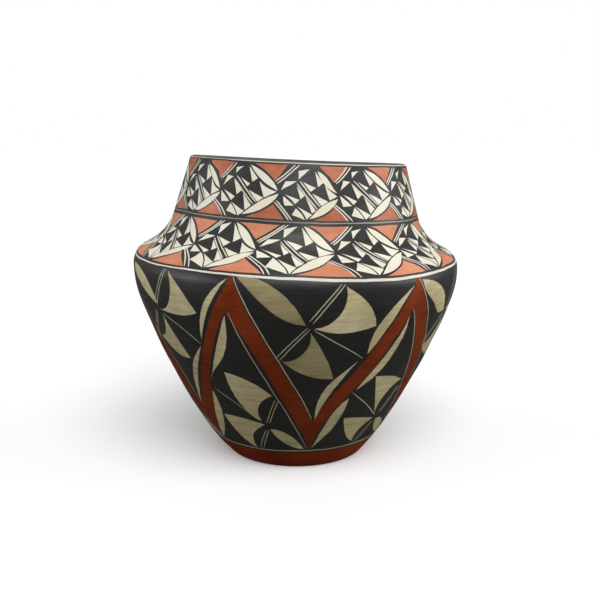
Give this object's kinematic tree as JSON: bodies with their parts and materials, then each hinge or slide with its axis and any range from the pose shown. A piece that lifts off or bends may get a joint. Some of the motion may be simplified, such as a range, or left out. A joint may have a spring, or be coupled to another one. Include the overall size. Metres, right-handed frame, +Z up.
{
  "type": "pottery jar",
  "caption": "Wide-shouldered water jar with a short sloping neck, a rounded shoulder and a tapering body on a small hollow base, coil-built and painted with pueblo bands",
  "frame": {"origin": "centre of the foot ring, on the surface that the jar stands on", "axes": "+Z up along the axis of the jar; the jar is round, and -Y is the side that the picture shows"},
  "size_m": [0.29, 0.29, 0.268],
  "materials": {
    "base_cup": "burnished slip, unglazed",
    "body_coil_1": "burnished slip, unglazed",
    "body_coil_2": "burnished slip, unglazed",
    "body_coil_3": "burnished slip, unglazed",
    "body_coil_4": "burnished slip, unglazed",
    "shoulder_coil_1": "burnished slip, unglazed",
    "shoulder_coil_2": "burnished slip, unglazed",
    "neck_coil": "burnished slip, unglazed",
    "rim_coil": "burnished slip, unglazed"
  },
  "bodies": {
    "root": {"base_cup": "base_cup", "body_coil_1": "body_coil_1", "body_coil_2": "body_coil_2", "body_coil_3": "body_coil_3", "body_coil_4": "body_coil_4", "shoulder_coil_1": "shoulder_coil_1", "shoulder_coil_2": "shoulder_coil_2", "neck_coil": "neck_coil", "rim_coil": "rim_coil"}
  },
  "joints": []
}
